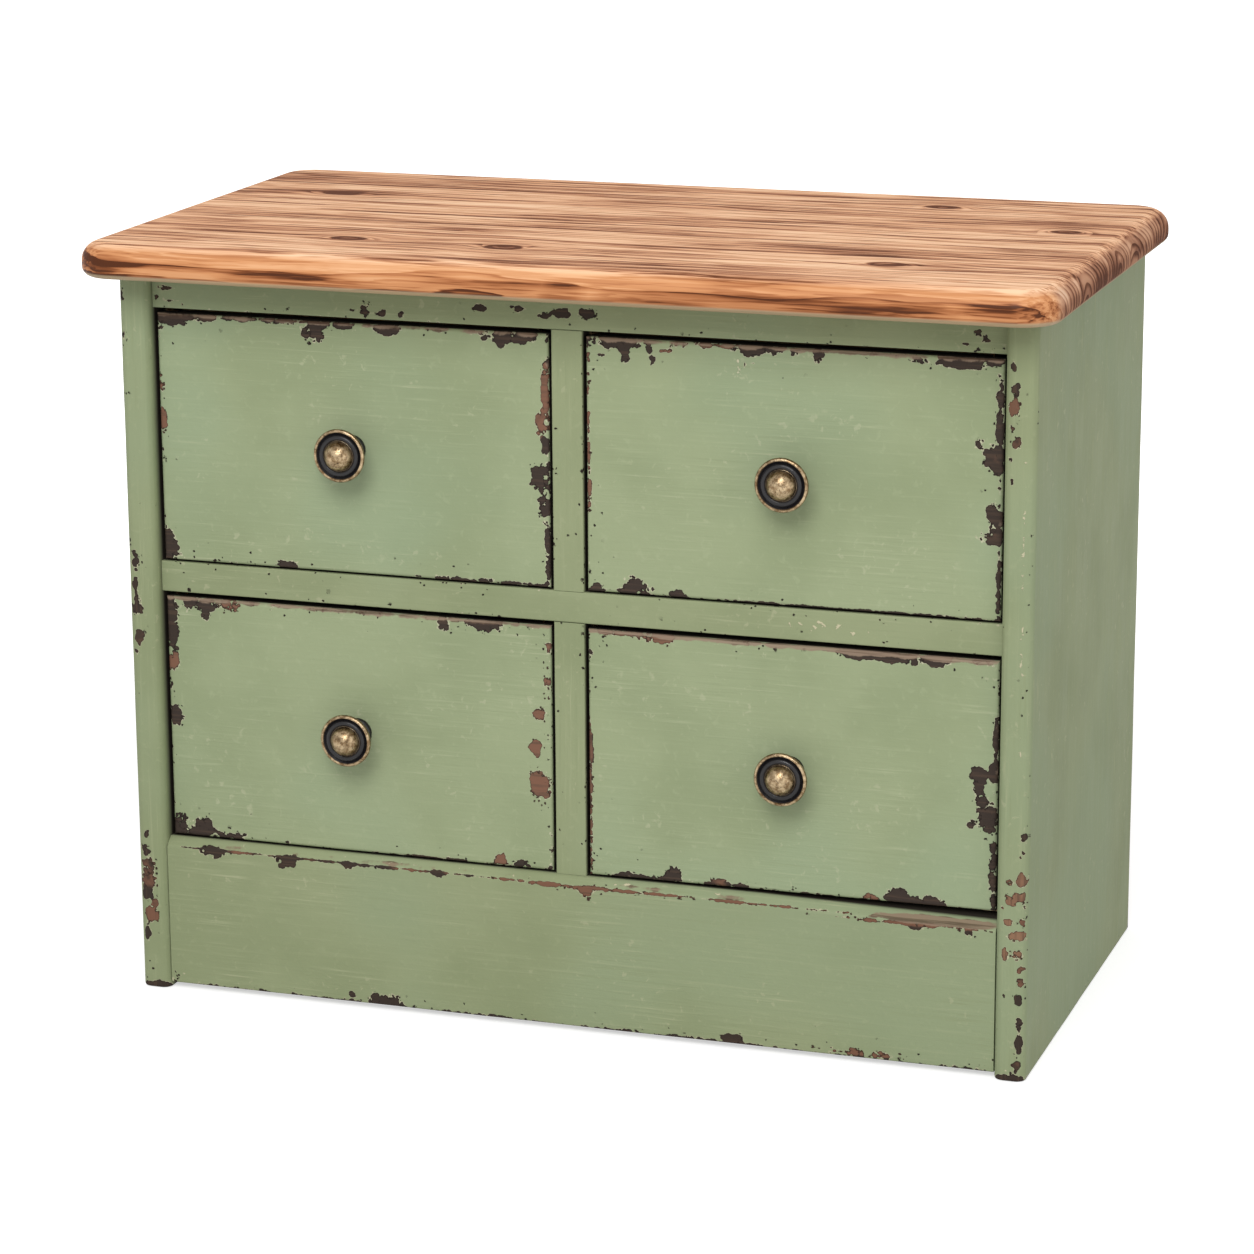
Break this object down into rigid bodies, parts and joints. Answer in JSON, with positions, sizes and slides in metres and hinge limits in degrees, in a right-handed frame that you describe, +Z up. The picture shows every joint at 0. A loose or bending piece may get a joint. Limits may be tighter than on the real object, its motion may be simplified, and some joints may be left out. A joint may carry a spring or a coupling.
{
  "type": "drawer cabinet",
  "caption": "Small wooden drawer cabinet with a rounded, overhanging stained top, a chipped painted carcass on a bevelled plinth, and inset drawers pulled out by round brass knobs.",
  "frame": {"origin": "on the floor, under the middle of the top board's plan", "axes": "+Z up, -Y towards the front with the drawers, +X to the chest's right as seen from the front"},
  "size_m": [0.592, 0.337, 0.469],
  "materials": {
    "stained_pine": "scorched and stained edge-glued pine, satin varnish with a glossier front edge",
    "green_paint": "brushed sage green paint on pine, eggshell, chipped to dark and red-brown undercoats at the edges",
    "raw_pine": "planed bare pine",
    "plywood": "sanded thin plywood",
    "beech": "turned beech dowel",
    "antique_brass": "antiqued brass, dark patina in the recess, rubbed bright on the dome and rim",
    "screw_steel": "zinc-plated steel"
  },
  "bodies": {
    "carcass": {"back_panel": "plywood", "back_panel_nails": "screw_steel", "divider_lower": "green_paint", "divider_upper": "green_paint", "drawer_stops": "raw_pine", "frame_dowels": "beech", "guide_lower": "raw_pine", "guide_upper": "raw_pine", "kicker_centre": "raw_pine", "kicker_left": "raw_pine", "kicker_right": "raw_pine", "middle_rail": "green_paint", "plinth_board": "green_paint", "plinth_glue_blocks": "raw_pine", "rear_rail_bottom": "raw_pine", "rear_rail_middle": "raw_pine", "rear_rail_top": "raw_pine", "runner_lower_centre": "raw_pine", "runner_lower_left": "raw_pine", "runner_lower_right": "raw_pine", "runner_screws": "screw_steel", "runner_upper_centre": "raw_pine", "runner_upper_left": "raw_pine", "runner_upper_right": "raw_pine", "side_panel_left": "green_paint", "side_panel_right": "green_paint", "top_board": "stained_pine", "top_rail": "green_paint", "top_screws": "screw_steel"},
    "drawer_lower_left": {"drawer_lower_left_front": "green_paint", "drawer_lower_left_inner_side": "raw_pine", "drawer_lower_left_outer_side": "raw_pine", "drawer_lower_left_back": "raw_pine", "drawer_lower_left_bottom": "plywood", "drawer_lower_left_knob": "antique_brass", "drawer_lower_left_knob_screw": "screw_steel"},
    "drawer_lower_right": {"drawer_lower_right_front": "green_paint", "drawer_lower_right_inner_side": "raw_pine", "drawer_lower_right_outer_side": "raw_pine", "drawer_lower_right_back": "raw_pine", "drawer_lower_right_bottom": "plywood", "drawer_lower_right_knob": "antique_brass", "drawer_lower_right_knob_screw": "screw_steel"},
    "drawer_upper_left": {"drawer_upper_left_front": "green_paint", "drawer_upper_left_inner_side": "raw_pine", "drawer_upper_left_outer_side": "raw_pine", "drawer_upper_left_back": "raw_pine", "drawer_upper_left_bottom": "plywood", "drawer_upper_left_knob": "antique_brass", "drawer_upper_left_knob_screw": "screw_steel"},
    "drawer_upper_right": {"drawer_upper_right_front": "green_paint", "drawer_upper_right_inner_side": "raw_pine", "drawer_upper_right_outer_side": "raw_pine", "drawer_upper_right_back": "raw_pine", "drawer_upper_right_bottom": "plywood", "drawer_upper_right_knob": "antique_brass", "drawer_upper_right_knob_screw": "screw_steel"}
  },
  "joints": [
    {"name": "drawer_lower_left_slide", "type": "slide", "parent": "carcass", "child": "drawer_lower_left", "axis": [0, -1, 0], "range_m": [0, 0.2]},
    {"name": "drawer_lower_right_slide", "type": "slide", "parent": "carcass", "child": "drawer_lower_right", "axis": [0, -1, 0], "range_m": [0, 0.2]},
    {"name": "drawer_upper_left_slide", "type": "slide", "parent": "carcass", "child": "drawer_upper_left", "axis": [0, -1, 0], "range_m": [0, 0.2]},
    {"name": "drawer_upper_right_slide", "type": "slide", "parent": "carcass", "child": "drawer_upper_right", "axis": [0, -1, 0], "range_m": [0, 0.2]}
  ]
}
